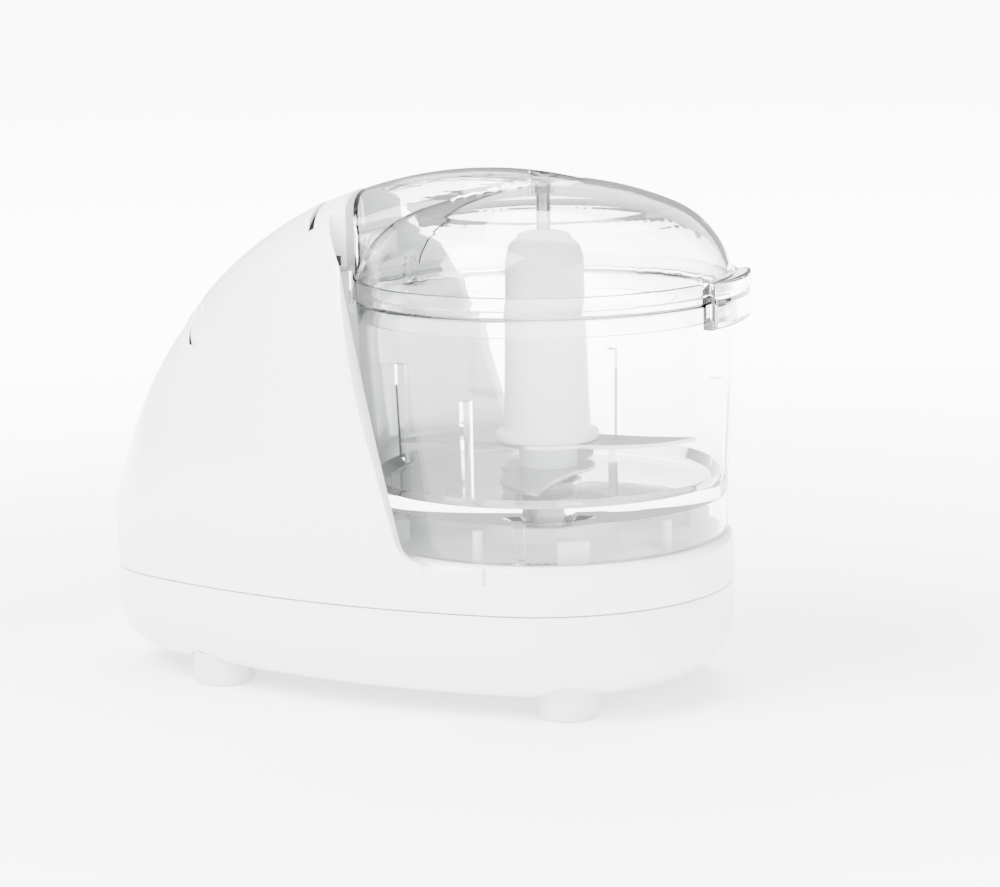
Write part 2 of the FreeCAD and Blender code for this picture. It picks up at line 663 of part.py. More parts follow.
def make_hub():
    """Cutter hub: turned, with a hexagonal socket for the spindle."""
    body = turned("hub_turned", [
        ("chimney_radius + 0.5", "hub_foot"),
        ("chimney_radius + 1", "hub_foot"),
        ("chimney_radius + 1", "flange_low"),
        ("flange_radius", "flange_low"),
        ("flange_radius", "flange_low + 2.3"),
        ("flange_radius - 2.4", "flange_low + 3"),
        ("13.5", "flange_low + 11"),
        ("12.6", "123"),
        ("12.4", "137"),
        ("11.2", "141.6"),
        ("8", "145.6"),
        ("4", "147.3"),
        ("2.35", "147.6"),
        ("2.35", "142"),
        ("0", "142"),
        ("0", "135"),
        ("chimney_radius + 0.5", "135"),
    ], "0")
    doc.recompute()
    core = cylinder(size("chimney_radius") + 1, size("chimney_high") + 1.5, 136)
    socket = prism(size("hexagon") + 0.35, size("chimney_high"), SOCKET_HIGH)
    shape = body.Shape.fuse(core.cut(socket))
    return shaped("blade_hub", shape.removeSplitter())


def make_spindle():
    shaft = cylinder(size("spindle_radius"), 9.2, 112)
    shape = shaft.fuse(prism(size("hexagon"), 111, size("spindle_top")))
    return shaped("drive_spindle", shape)


def make_belt():
    """A flat loop round both pulleys: arcs joined by straight runs that touch both."""
    def loop(grow):
        large = size("large_pulley") + grow
        small = size("small_pulley") + grow
        lean = math.acos((large - small) / MOTOR_OFFSET)
        low = size("belt_low")

        def point(radius, centre, hand):
            return Vector(centre - radius * math.cos(lean), hand * radius * math.sin(lean), low)

        a, b = point(large, 0, 1), point(small, -MOTOR_OFFSET, 1)
        c, d = point(small, -MOTOR_OFFSET, -1), point(large, 0, -1)
        edges = [
            Part.LineSegment(a, b),
            Part.Arc(b, Vector(-MOTOR_OFFSET - small, 0, low), c),
            Part.LineSegment(c, d),
            Part.Arc(d, Vector(large, 0, low), a),
        ]
        face = Part.Face(Part.Wire([edge.toShape() for edge in edges]))
        return face.extrude(Vector(0, 0, size("belt_wide")))

    gap = size("clearance")
    return shaped("drive_belt", loop(gap + size("belt_thick")).cut(loop(gap)))


def make_spring():
    """Return spring of the button."""
    helix = Part.makeHelix(2.6, 13.0, 3.6)
    start = Vector(3.6, 0, 0)
    section = Part.Wire([Part.makeCircle(0.45, start, Vector(0, 1, 0))])
    coil = Part.Wire(helix).makePipeShell([section], True, True)
    coil.translate(Vector(-SPRING_X, 0, SPRING_Z))
    return shaped("button_spring", coil)


def make_shelf():
    """Carrier inside the tower for the switch, the spring and the button's pivot pin."""
    plate = brick(-113, -70.0, -8, 8, SHELF_LOW, SHELF_HIGH)
    top = brick(-113, -106, -8, 8, SHELF_HIGH - 1, size("pivot_z") + 2.6)
    bore = cross_rod(size("pin_radius") + 0.01, 20, Vector(-size("pivot_x"), 0, size("pivot_z")))
    seat = cylinder(2.9, SHELF_HIGH - 1, SPRING_Z + 1.5, -SPRING_X)
    keep = arch(size("wall") + 0.4)
    shape = plate.fuse([top, seat]).cut(bore).common(keep)
    legs = brick(-73, -69.5, -20, 20, 107.5, SHELF_HIGH).cut(recess(size("wall") + 0.1))
    return shaped("switch_carrier", shape.fuse(legs.common(keep)).removeSplitter())


make_tray()
make_housing()
make_button()
make_lid()
make_bowl()
make_blades()
make_hub()
make_spindle()
make_belt()
make_spring()
make_shelf()


def motor_part(name, outline):
    return node(turned(name, outline, "motor_x"), name)


def axis_part(name, outline):
    return node(turned(name, outline, "bowl_x"), name)


axis_part("top_pin", [("0", "142.1"), ("2.3", "142.1"), ("2.3", "158.8"), ("1.4", "159.8"), ("0", "159.8")])
axis_part("lid_bush", [("2.36", "157.2"), ("3.6", "157.2"), ("3.6", "160.4"), ("2.36", "160.4")])
axis_part("bowl_bush", [
    ("spindle_radius + 0.35", "floor_low - 6"), ("chimney_radius", "floor_low - 6"),
    ("chimney_radius", "floor_low - 0.2"), ("spindle_radius + 0.35", "floor_low - 0.2"),
])
axis_part("output_pulley", [
    ("spindle_radius", "belt_low - 4"), ("9", "belt_low - 4"), ("9", "belt_low + 3"),
    ("large_pulley - 4", "belt_low + 3"), ("large_pulley - 4", "belt_low - 2"),
    ("large_pulley + 2", "belt_low - 2"), ("large_pulley + 2", "belt_low - 0.5"),
    ("large_pulley", "belt_low - 0.3"), ("large_pulley", "belt_low + belt_wide + 0.3"),
    ("large_pulley + 2", "belt_low + belt_wide + 0.5"), ("large_pulley + 2", "belt_low + belt_wide + 2"),
    ("large_pulley - 4", "belt_low + belt_wide + 2"), ("large_pulley - 4", "belt_low + 6"),
    ("9", "belt_low + 6"), ("9", "belt_low + 17"), ("spindle_radius", "belt_low + 17"),
])
axis_part("lower_bearing", [
    ("spindle_radius + slide_fit", "8.4"), ("8.95", "8.4"),
    ("8.95", "13"), ("spindle_radius + slide_fit", "13"),
])
axis_part("upper_bearing", [
    ("spindle_radius + slide_fit", "deck - 11"), ("8.95", "deck - 11"),
    ("8.95", "deck - 4"), ("spindle_radius + slide_fit", "deck - 4"),
])
axis_part("shaft_seal", [
    ("spindle_radius + slide_fit", "deck - 2.8"), ("8.95", "deck - 2.8"), ("8.95", "deck + 0.4"),
    ("6.5", "deck + 2.4"), ("spindle_radius + slide_fit", "deck + 2.4"),
])

# motor, from the pulley up
motor_part("motor_shaft", [
    ("0", "14"), ("shaft_radius - 0.3", "14"), ("shaft_radius", "14.4"),
    ("shaft_radius", "111.5"), ("0", "111.5"),
])
motor_part("motor_pulley", [
    ("shaft_radius", "belt_low - 2.5"), ("small_pulley + 2", "belt_low - 2.5"),
    ("small_pulley + 2", "belt_low - 0.5"), ("small_pulley", "belt_low - 0.3"),
    ("small_pulley", "belt_low + belt_wide + 0.3"),
    ("small_pulley + 2", "belt_low + belt_wide + 0.5"), ("small_pulley + 2", "belt_low + belt_wide + 1.5"),
    ("shaft_radius", "belt_low + belt_wide + 1.5"),
])
motor_part("armature", [
    ("shaft_radius", "core_low - 4"), ("11", "core_low - 4"), ("13", "core_low - 2"), ("13", "core_low + 1"),
    ("rotor_radius", "core_low + 1"), ("rotor_radius", "core_high - 1"), ("13", "core_high - 1"),
    ("13", "core_high + 2"), ("10", "core_high + 5"), ("shaft_radius", "core_high + 5"),
])
motor_part("commutator", [
    ("shaft_radius", "core_high + 6"), ("8", "core_high + 6"), ("8", "core_high + 8"), ("7", "core_high + 8"),
    ("7", "core_high + 17"), ("shaft_radius", "core_high + 17"),
])
for bearing, low in (("lower_motor_bearing", 34.0), ("upper_motor_bearing", 104.6)):
    motor_part(bearing, [
        ("shaft_radius + slide_fit", str(low)), ("6.5", str(low)),
        ("6.5", str(low + 5)), ("shaft_radius + slide_fit", str(low + 5)),
    ])

core_round = rod("core_round", "motor_x", "0", "core_low", "core_radius", "core_high - core_low")
core_block = block("core_block", "motor_x - core_radius", "-22", "core_low", "2 * core_radius", "44",
                   "core_high - core_low")
core = overlap("core_shape", core_round, core_block)
bore = rod("core_bore", "motor_x", "0", "core_low - 1", "rotor_radius + 0.5", "core_high - core_low + 2")
node(cut("stator_core", core, bore), "stator_core")


def coil_end(low, side):
    """One bundle of winding that stands out of the core."""
    shape = sector(17.0, 23.0, low, low + 4.5, side, 52)
    shape = shape.makeFillet(1.6, shape.Edges)
    shape.translate(Vector(-MOTOR_OFFSET, 0, 0))
    return shape


coil_lows = (size("core_low") - 4.6, size("core_high") + 0.1)
coils = [coil_end(low, side) for low in coil_lows for side in (0, 180)]
shaped("field_coils", Part.makeCompound(coils))


def fan():
    hub = ring(size("shaft_radius"), 7, 41.5, 47, -MOTOR_OFFSET)
    plate = ring(6, 21.5, 41.5, 42.7, -MOTOR_OFFSET)
    shape = hub.fuse(plate)
    for k in range(11):
        vane = brick(7.5, 21.0, -0.6, 0.6, 42.2, 49.0)
        vane.rotate(Vector(14, 0, 0), UP, 24)
        vane.rotate(Vector(), UP, 360 * k / 11)
        vane.translate(Vector(-MOTOR_OFFSET, 0, 0))
        shape = shape.fuse(vane)
    return shape


shaped("motor_fan", fan())


def frame_end(name, plate, hub_low, leg_low, leg_high):
    """A bearing carrier: a plate, a hub round the bearing and two legs to the core."""
    legs = ring(23.6, 25.8, leg_low, leg_high).common(brick(-30, 30, -8, 8, leg_low, leg_high))
    shape = plate.fuse([cylinder(9.0, hub_low, hub_low + 6.4), legs])
    shape = shape.cut(cylinder(6.55, hub_low - 1, hub_low + 8))
    shape.translate(Vector(-MOTOR_OFFSET, 0, 0))
    return shaped(name, shape)


lower_plate = cylinder(20.0, 35, 37.5).fuse(cylinder(25.8, 35, 37.5).common(brick(-30, 30, -8, 8, 35, 37.5)))
for lobe_x, lobe_y in MOUNTS:
    lower_plate = lower_plate.fuse(cylinder(MOUNT_RADIUS + 0.5, 35, 37.5, lobe_x, lobe_y))
upper_plate = cylinder(25.8, 103.8, 106.3).common(brick(-30, 30, -9, 9, 103, 107))
frame_end("lower_motor_frame", lower_plate, 33.2, 36, size("core_low"))
frame_end("upper_motor_frame", upper_plate, 103.8, size("core_high"), 105)


def both_sides(shape):
    return [shape, shape.mirror(Vector(), Vector(0, 1, 0))]


holder = brick(-4, 4, 9.5, 19.5, 92.5, 99.5).cut(brick(-2.6, 2.6, 9, 19, 93.6, 98.4))
brush = brick(-2.5, 2.5, 7.15, 16, 93.7, 98.3)
arms = brick(-4, 4, 17, 19.5, 99.4, 103.7)
holders = both_sides(holder.fuse(arms))
brushes = both_sides(brush)
for shape in holders + brushes:
    shape.translate(Vector(-MOTOR_OFFSET, 0, 0))
shaped("brush_holders", Part.makeCompound(holders))
shaped("carbon_brushes", Part.makeCompound(brushes))

feet = [turned(f"foot_{k}", [
    ("0", "0"), ("foot_radius - 1", "0"), ("foot_radius", "1"),
    ("foot_radius", "foot_tall"), ("0", "foot_tall"),
], "0") for k in range(4)]
for foot, (x, y) in zip(feet, (("foot_front_x", "foot_front_y"), ("foot_front_x", "-foot_front_y"),
                               ("-foot_rear_x", "foot_rear_y"), ("-foot_rear_x", "-foot_rear_y"))):
    bound(foot, x=f"bowl_x + {x}", y=y)
node(group("rubber_feet", feet), "rubber_feet")

screws = [cylinder(SCREW_HEAD, WELL_HIGH + 0.4, POST_LOW - 3, x, y).fuse(
    cylinder(SCREW_RADIUS, POST_LOW - 4, size("seam") - 3, x, y)) for x, y in FEET]
shaped("base_screws", Part.makeCompound(screws))

pads = [cylinder(MOUNT_RADIUS + 0.5, MOUNT_LOW, 34.9, x - MOTOR_OFFSET, y) for x, y in MOUNTS]
shaped("motor_mounts", Part.makeCompound(pads))

shaped("button_pivot_pin", cross_rod(size("pin_radius"), 13, Vector(-size("pivot_x"), 0, size("pivot_z"))))
switch_lever = brick(PRESSER_X - 1, PRESSER_X + 1, -1.5, 1.5, 130, 135)
shaped("power_switch", brick(-90, -78, -5, 5, SHELF_HIGH, 131).fuse(switch_lever))

plunger = radial_rod(PLUNGER_RADIUS, 65.0, 73.0)
shaped("interlock_plunger", plunger)
shaped("interlock_switch", brick(-78.5, -72.0, -31.0, -25.0, 117.5, 129.0))

board = brick(-62, -36, -47, -25, 39.8, 41.4)
posts = [cylinder(1.8, 41.4, 47.5, x, y) for x in (-58.5, -39.5) for y in (-43.0, -29.0)]
shaped("circuit_board", board)
shaped("board_spacers", Part.makeCompound(posts))
shaped("filter_capacitor", brick(-57, -41, -45, -38, 31.5, 39.8))
coil = cylinder(4.6, 31.0, 39.8, -50.0, -31.5).cut(cylinder(1.6, 30.0, 37.0, -50.0, -31.5))
shaped("choke_coil", coil)

inlet = Part.makeCylinder(GLAND_RADIUS, 14.0, Vector(-149.0, 0, GLAND_Z), Vector(1, 0, 0))
inlet = inlet.fuse(Part.makeCylinder(7.6, 2.0, Vector(-145.2, 0, GLAND_Z), Vector(1, 0, 0)))
inlet = inlet.cut(Part.makeCylinder(3.75, 30, Vector(-155, 0, GLAND_Z), Vector(1, 0, 0)))
shaped("cord_inlet", inlet)
clamp = brick(CLAMP_X - 2.25, CLAMP_X + 2.25, -9, 9, CLAMP_LOW, CLAMP_LOW + 3.2)
shaped("cord_clamp", clamp)

doc.recompute()
os.makedirs("parts", exist_ok=True)
for thing in doc.Objects:
    if "Invalid" in thing.State or "Error" in thing.State:
        raise RuntimeError(f"{thing.Label} failed: {thing.State}")
for thing in nodes:
    if thing.Shape.isNull() or not thing.Shape.isValid() or not thing.Shape.Solids:
        raise RuntimeError(f"{thing.Label} has no sound solid")
for thing in nodes:
    thing.Shape.exportStep(f"parts/{thing.Label}.step")
    box = thing.Shape.BoundBox
    print(f"{thing.Label:22s} {len(thing.Shape.Solids)} solids {thing.Shape.Volume:10.1f} mm3 "
          f"z {box.ZMin:7.2f} to {box.ZMax:7.2f}")
print(len(nodes), "nodes")
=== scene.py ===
import json
import math

import bmesh
import bpy
from bpy.props import FloatProperty, FloatVectorProperty, PointerProperty
from mathutils import Matrix, Vector


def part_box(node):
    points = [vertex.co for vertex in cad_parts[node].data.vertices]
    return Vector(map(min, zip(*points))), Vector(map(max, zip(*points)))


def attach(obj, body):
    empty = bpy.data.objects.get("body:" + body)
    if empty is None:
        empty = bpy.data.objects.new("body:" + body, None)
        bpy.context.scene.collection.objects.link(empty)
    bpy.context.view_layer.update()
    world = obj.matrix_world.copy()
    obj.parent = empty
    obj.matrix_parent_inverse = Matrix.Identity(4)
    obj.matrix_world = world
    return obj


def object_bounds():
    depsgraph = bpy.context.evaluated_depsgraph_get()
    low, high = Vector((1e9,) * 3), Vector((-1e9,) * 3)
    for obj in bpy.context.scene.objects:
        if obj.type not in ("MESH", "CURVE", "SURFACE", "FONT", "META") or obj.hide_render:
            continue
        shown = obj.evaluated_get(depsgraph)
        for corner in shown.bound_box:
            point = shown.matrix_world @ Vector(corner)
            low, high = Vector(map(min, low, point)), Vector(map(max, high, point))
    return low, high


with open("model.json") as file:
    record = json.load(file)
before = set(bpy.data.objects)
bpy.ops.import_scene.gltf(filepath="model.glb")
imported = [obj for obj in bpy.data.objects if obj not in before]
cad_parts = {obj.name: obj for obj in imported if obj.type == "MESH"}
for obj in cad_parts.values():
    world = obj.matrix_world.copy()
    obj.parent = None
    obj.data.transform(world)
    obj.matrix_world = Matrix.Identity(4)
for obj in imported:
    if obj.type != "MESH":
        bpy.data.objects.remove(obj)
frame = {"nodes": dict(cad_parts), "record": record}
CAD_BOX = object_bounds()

bl_info = {
    "name": "Mini chopper",
    "version": (1, 0, 0),
    "blender": (4, 5, 0),
    "location": "3D View > Sidebar > Chopper",
    "description": "Finishes and visible shapes of a small belt-driven food chopper",
    "category": "Object",
}

MM = 0.001
BOWL_AXIS = (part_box("bowl_bush")[0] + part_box("bowl_bush")[1]) / 2
AXIS_X = BOWL_AXIS.x

# How wide the edges of moulded sub-parts are rounded, and which edges count.
ROUNDING = {"upper_housing": 0.3 * MM, "base_tray": 0.3 * MM, "power_button": 0.5 * MM, "blade_hub": 0.4 * MM}
ROUNDED_EDGE = math.radians(38.0)
SHARP_EDGE = math.radians(32.0)
WELD_DISTANCE = 2e-6

# Opposite corners of the small blocks, in millimetres from the bowl axis.
# The two blocks by the collar are dark blocks painted as the shade inside the slots beside the collar.
COLLAR_SLOT_SHADES = (((-63.4, -22.25, 135.7), (-60.0, -21.4, 138.9)), ((-63.4, 21.4, 135.7), (-60.0, 22.25, 138.9)))
COLLAR_SLOT_SHADE_ROUNDING = 0.12
RATING_PLATE = ((-62.0, -13.0, 5.5), (-22.0, 13.0, 5.8))
RATING_PLATE_ROUNDING = 0.1

# Plugs over the ends of the button's pivot, and how the button's skin falls away there.
PLUG_RADIUS, PLUG_LENGTH, PLUG_MIDDLE = 1.24 * MM, 4.3 * MM, 16.1 * MM
PLUG_SLANT_X, PLUG_SLANT_Z = 0.56, -0.49

# The stage, in metres and degrees.
FLOOR_DROP = 0.0002
FLOOR_GLOW_NEAR, FLOOR_GLOW_FAR = 0.18, 0.8
CARD_HALF_WIDTH = 0.28
CARDS = (("card_left", (-0.46, -0.16, 0.34), 75), ("card_right", (0.52, 0.12, 0.34), -55))
LAMPS = (("key", (-0.7, -0.9, 1.5), 1.2), ("fill", (1.3, -0.5, 0.9), 1.4), ("top", (0.0, 0.5, 1.6), 1.2))
SENSOR_WIDTH = 36.0
CLIP_START = 0.05


# ---- shader arithmetic ----

class Wire:
    """A node's output that takes part in ordinary arithmetic."""

    def __init__(self, shader, socket):
        self.shader = shader
        self.socket = socket

    def maths(self, operation, first, second):
        return self.shader.node("ShaderNodeMath", {"operation": operation}, {0: first, 1: second})

    def __add__(self, other):
        return self.maths("ADD", self, other)

    def __radd__(self, other):
        return self.maths("ADD", other, self)

    def __mul__(self, other):
        return self.maths("MULTIPLY", self, other)

    def __rmul__(self, other):
        return self.maths("MULTIPLY", other, self)


class Shader:
    """One material: its node tree, the few nodes that every finish uses, and its Principled shader."""

    def __init__(self, name):
        self.material = bpy.data.materials.new(name)
        self.material.use_nodes = True
        self.tree = self.material.node_tree
        self.principled = self.tree.nodes["Principled BSDF"]
        self.place = self.node("ShaderNodeTexCoord", {}, {}, "Object")

    def node(self, kind, settings, values, output=0):
        made = self.tree.nodes.new(kind)
        for key, value in settings.items():
            if key == "stops":
                ramp = made.color_ramp
                for at, (place, colour) in enumerate(value):
                    stop = ramp.elements[at] if at < 2 else ramp.elements.new(place)
                    stop.position = place
                    stop.color = colour
            else:
                setattr(made, key, value)
        for key, value in values.items():
            self.feed(made.inputs[key], value)
        return Wire(self, made.outputs[output])

    def feed(self, socket, value):
        if isinstance(value, Wire):
            self.tree.links.new(value.socket, socket)
        else:
            socket.default_value = value

    def stretch(self, scale):
        """Object coordinates, scaled along each axis."""
        return self.node("ShaderNodeMapping", {}, {"Vector": self.place, "Scale": scale})

    def noise(self, scale, detail=2.0, rough=0.5, where=None):
        values = {"Vector": where or self.place, "Scale": scale, "Detail": detail, "Roughness": rough}
        return self.node("ShaderNodeTexNoise", {}, values)

    def bands(self, scale, axis, distortion=0.0):
        values = {"Vector": self.place, "Scale": scale, "Distortion": distortion}
        return self.node("ShaderNodeTexWave", {"bands_direction": axis}, values, "Fac")

    def remap(self, wire, low, high, to_low=0.0, to_high=1.0):
        values = {"Value": wire, "From Min": low, "From Max": high, "To Min": to_low, "To Max": to_high}
        return self.node("ShaderNodeMapRange", {}, values)

    def blend(self, factor, first, second):
        """A colour between two colours."""
        made = self.tree.nodes.new("ShaderNodeMix")
        made.data_type = "RGBA"
        self.feed(made.inputs[0], factor)
        self.feed(made.inputs[6], first)
        self.feed(made.inputs[7], second)
        return Wire(self, made.outputs[2])

    def bump(self, height, strength, distance):
        values = {"Height": height, "Strength": strength, "Distance": distance}
        return self.node("ShaderNodeBump", {}, values)

    def set(self, **values):
        """Principled sockets, spaces written as underscores."""
        for key, value in values.items():
            self.feed(self.principled.inputs[key.replace("_", " ")], value)
        return self.material


def opaque(colour):
    return (*colour[:3], 1.0)


# ---- sizes and colours that a user would change ----

class FinishSettings(bpy.types.PropertyGroup):
    casing: FloatVectorProperty(name="Casing", description="Colour of the casing", subtype="COLOR", size=3,
                                default=(0.86, 0.865, 0.87))
    button: FloatVectorProperty(name="Button", description="Colour of the button", subtype="COLOR", size=3,
                                default=(0.80, 0.82, 0.84))
    hub: FloatVectorProperty(name="Hub", description="Colour of the cutter hub", subtype="COLOR", size=3,
                             default=(0.93, 0.94, 0.95))
    clear: FloatVectorProperty(name="Clear plastic", description="Tint of bowl and lid", subtype="COLOR", size=3,
                               default=(0.975, 0.985, 0.985))
    feet: FloatVectorProperty(name="Feet", description="Colour of the feet", subtype="COLOR", size=3,
                              default=(0.80, 0.80, 0.79))
    clear_index: FloatProperty(name="Index", description="Refractive index of the clear plastic", default=1.49)


class StageSettings(bpy.types.PropertyGroup):
    azimuth: FloatProperty(name="Azimuth", description="Camera's heading round the object", subtype="ANGLE",
                           default=math.radians(19.88))
    distance: FloatProperty(name="Distance", description="Camera to the bowl axis, along the floor", subtype="DISTANCE",
                            default=1.0633)
    height: FloatProperty(name="Height", description="Camera above the floor", subtype="DISTANCE", default=0.2713)
    pan: FloatProperty(name="Pan", description="Camera turned off the bowl axis", subtype="ANGLE", default=0.014234)
    tilt: FloatProperty(name="Tilt", description="Camera tipped down", subtype="ANGLE", default=0.179971)
    roll: FloatProperty(name="Roll", description="Camera rolled", subtype="ANGLE", default=-0.021095)
    lens: FloatProperty(name="Lens", description="Focal length", subtype="DISTANCE_CAMERA", default=122.48)
    floor: FloatProperty(name="Floor", description="Half the width of the floor", subtype="DISTANCE", default=6.0)
    daylight: FloatProperty(name="Surroundings", description="Strength of the white surroundings", default=0.8)
    glow: FloatProperty(name="Floor glow", description="Light that the floor gives off", default=9.0)
    key: FloatProperty(name="Key light", description="Power of the main light", subtype="POWER", default=150.0)
    fill: FloatProperty(name="Fill light", description="Power of the second light", subtype="POWER", default=50.0)
    top: FloatProperty(name="Top light", description="Power of the light overhead", subtype="POWER", default=90.0)


# ---- finishes ----

def moulded(name, colour, rough=(0.26, 0.34), grain=0.02, coat=0.12):
    """Satin moulded plastic: faint flow clouds, fine spark-eroded grain and handling smears."""
    s = Shader(name)
    flow = s.noise(9.0, 3.0, 0.55)
    smear = s.noise(26.0, 4.0, 0.6, s.stretch((1.0, 1.0, 0.35)))
    darker = tuple(c * 0.975 for c in colour)
    tone = s.blend(s.remap(flow, 0.35, 0.65), opaque(darker), opaque(colour))
    skin = s.noise(900.0, 2.0, 0.5)
    pebble = s.noise(3200.0, 1.0, 0.5)
    relief = s.bump(skin * 0.6 + pebble * 0.4, grain, 0.0004)
    gloss = s.remap(smear, 0.3, 0.7, *rough)
    return s.set(Base_Color=tone, Roughness=gloss, Normal=relief, Coat_Weight=coat, Coat_Roughness=0.12, IOR=1.5)


def clear(name, settings):
    """Clear plastic: body tint, faint ripples from moulding and a few fine wipe marks."""
    s = Shader(name)
    ripple = s.noise(22.0, 2.0, 0.5, s.stretch((1.0, 1.0, 0.6)))
    wipes = s.noise(60.0, 5.0, 0.7, s.stretch((1.0, 1.0, 9.0)))
    gloss = s.remap(wipes, 0.5, 0.8, 0.0, 0.035)
    return s.set(Base_Color=opaque(settings.clear), Roughness=gloss, Normal=s.bump(ripple, 0.03, 0.0006),
                 Transmission_Weight=1.0, IOR=settings.clear_index)


def frosted(name, colour):
    s = Shader(name)
    cloud = s.noise(40.0, 3.0, 0.6)
    darker = tuple(c * 0.96 for c in colour)
    tone = s.blend(s.remap(cloud, 0.35, 0.65), opaque(darker), opaque(colour))
    ring = s.bands(260.0, "Z", 1.5)
    return s.set(Base_Color=tone, Roughness=s.remap(cloud, 0.3, 0.7, 0.36, 0.48),
                 Normal=s.bump(ring * 0.3 + s.noise(1500.0), 0.03, 0.0003), Subsurface_Weight=0.15,
                 Subsurface_Scale=0.002, Coat_Weight=0.1, Coat_Roughness=0.2)


def ground_steel(name, colour=(0.63, 0.63, 0.64), rough=(0.16, 0.34), along=(1.0, 60.0, 60.0)):
    """Steel with fine parallel grinding lines."""
    s = Shader(name)
    lines = s.noise(120.0, 6.0, 0.7, s.stretch(along))
    stain = s.noise(30.0, 3.0, 0.5)
    tone = s.blend(s.remap(stain, 0.35, 0.7), opaque(colour), opaque(tuple(c * 0.86 for c in colour)))
    return s.set(Base_Color=tone, Metallic=1.0, Roughness=s.remap(lines, 0.3, 0.7, *rough),
                 Normal=s.bump(lines, 0.06, 0.0003))


def rubber(name, colour, rough=(0.5, 0.68)):
    s = Shader(name)
    bloom = s.noise(70.0, 4.0, 0.6)
    tone = s.blend(s.remap(bloom, 0.3, 0.7), opaque(tuple(c * 0.93 for c in colour)), opaque(colour))
    return s.set(Base_Color=tone, Roughness=s.remap(bloom, 0.3, 0.7, *rough),
                 Normal=s.bump(s.noise(1100.0, 3.0, 0.6), 0.12, 0.0003))


def wound(name, colour):
    """Windings: close turns of enamelled wire."""
    s = Shader(name)
    turns = s.bands(520.0, "Z", 0.6)
    tone = s.blend(turns, opaque(tuple(c * 0.45 for c in colour)), opaque(colour))
    return s.set(Base_Color=tone, Metallic=0.7, Roughness=s.remap(turns, 0.0, 1.0, 0.5, 0.28),
                 Normal=s.bump(turns, 0.5, 0.0003), Coat_Weight=0.4)


def laminated(name, colour):
    """A stack of punched sheets."""
    s = Shader(name)
    sheets = s.bands(330.0, "Z")
    rust = s.noise(60.0, 4.0, 0.6)
    tone = s.blend(s.remap(rust, 0.45, 0.75), opaque(colour), (0.24, 0.15, 0.10, 1.0))
    return s.set(Base_Color=tone, Metallic=0.6, Roughness=s.remap(rust, 0.3, 0.7, 0.4, 0.62),
                 Normal=s.bump(sheets, 0.5, 0.0002))


def circuit(name):
    """Green board with copper tracks under the lacquer."""
    s = Shader(name)
    tracks = s.bands(90.0, "X", 6.0)
    on = s.remap(tracks, 0.82, 0.86)
    tone = s.blend(on, (0.02, 0.16, 0.06, 1.0), (0.10, 0.34, 0.12, 1.0))
    return s.set(Base_Color=tone, Roughness=s.remap(tracks, 0.0, 1.0, 0.25, 0.35), Normal=s.bump(on, 0.3, 0.0001))


def finishes(settings):
    """Every material, by the record's slot name."""
    return {
        "white_abs": moulded("satin_white_casing", settings.casing),
        "button_abs": moulded("satin_white_button", settings.button, (0.22, 0.30), 0.015),
        "clear_plastic": clear("clear_styrene", settings),
        "frosted_plastic": frosted("milky_polypropylene", settings.hub),
        "blade_steel": ground_steel("ground_blade_steel", (0.42, 0.42, 0.43)),
        "pin_steel": ground_steel("turned_pin_steel", (0.30, 0.30, 0.31), (0.10, 0.20), (30.0, 30.0, 4.0)),
        "foot_rubber": rubber("pale_foot_rubber", settings.feet),
        "seal_rubber": rubber("black_seal_rubber", (0.035, 0.035, 0.036)),
        "belt_rubber": rubber("belt_rubber", (0.02, 0.02, 0.021)),
        "dark_nylon": moulded("dark_nylon", (0.03, 0.03, 0.033), (0.4, 0.55), 0.08, 0.0),
        "white_nylon": moulded("white_acetal", (0.78, 0.78, 0.74), (0.3, 0.42), 0.04, 0.0),
        "steel": ground_steel("plated_steel", (0.55, 0.55, 0.57), (0.22, 0.40), (8.0, 8.0, 8.0)),
        "lamination": laminated("core_laminations", (0.20, 0.20, 0.22)),
        "copper": wound("enamelled_copper", (0.62, 0.26, 0.12)),
        "bearing_bronze": ground_steel("sintered_bronze", (0.50, 0.34, 0.16), (0.35, 0.55), (9.0, 9.0, 9.0)),
        "carbon": rubber("brush_carbon", (0.02, 0.02, 0.02), (0.35, 0.55)),
        "board": circuit("circuit_board"),
        "yellow_film": moulded("capacitor_case", (0.60, 0.42, 0.05), (0.25, 0.35), 0.02),
    }


FINISHES = {}


def dress(piece, slot_name):
    """Gives a piece its finish."""
    piece.data.materials.clear()
    piece.data.materials.append(FINISHES[slot_name])


# ---- geometry helpers ----

def keep_edges(piece):
    """Shades a piece smooth and keeps its real edges sharp."""
    split = piece.modifiers.new("edges", "EDGE_SPLIT")
    split.split_angle = SHARP_EDGE
    split.use_edge_sharp = False
    piece.data.shade_smooth()


def soften(piece, round_off):
    """Joins a CAD node's loose triangles and rounds its edges, where it has a width for them."""
    weld = piece.modifiers.new("weld", "WELD")
    weld.merge_threshold = WELD_DISTANCE
    if round_off:
        bevel = piece.modifiers.new("rounding", "BEVEL")
        bevel.width = round_off
        bevel.segments = 2
        bevel.limit_method = "ANGLE"
        bevel.angle_limit = ROUNDED_EDGE
        bevel.use_clamp_overlap = False
    keep_edges(piece)


def floor_material(glow):
    s = Shader("paper_floor")
    fibre = s.noise(300.0, 3.0, 0.6)
    away = s.node("ShaderNodeVectorMath", {"operation": "LENGTH"}, {0: s.place}, "Value")
    light = s.blend(s.remap(away, FLOOR_GLOW_NEAR, FLOOR_GLOW_FAR), (0.12, 0.12, 0.12, 1.0), (1.0, 1.0, 1.0, 1.0))
    return s.set(Base_Color=s.blend(fibre, (0.90, 0.90, 0.90, 1.0), (0.92, 0.92, 0.92, 1.0)), Roughness=0.9,
                 Emission_Color=light, Emission_Strength=glow)


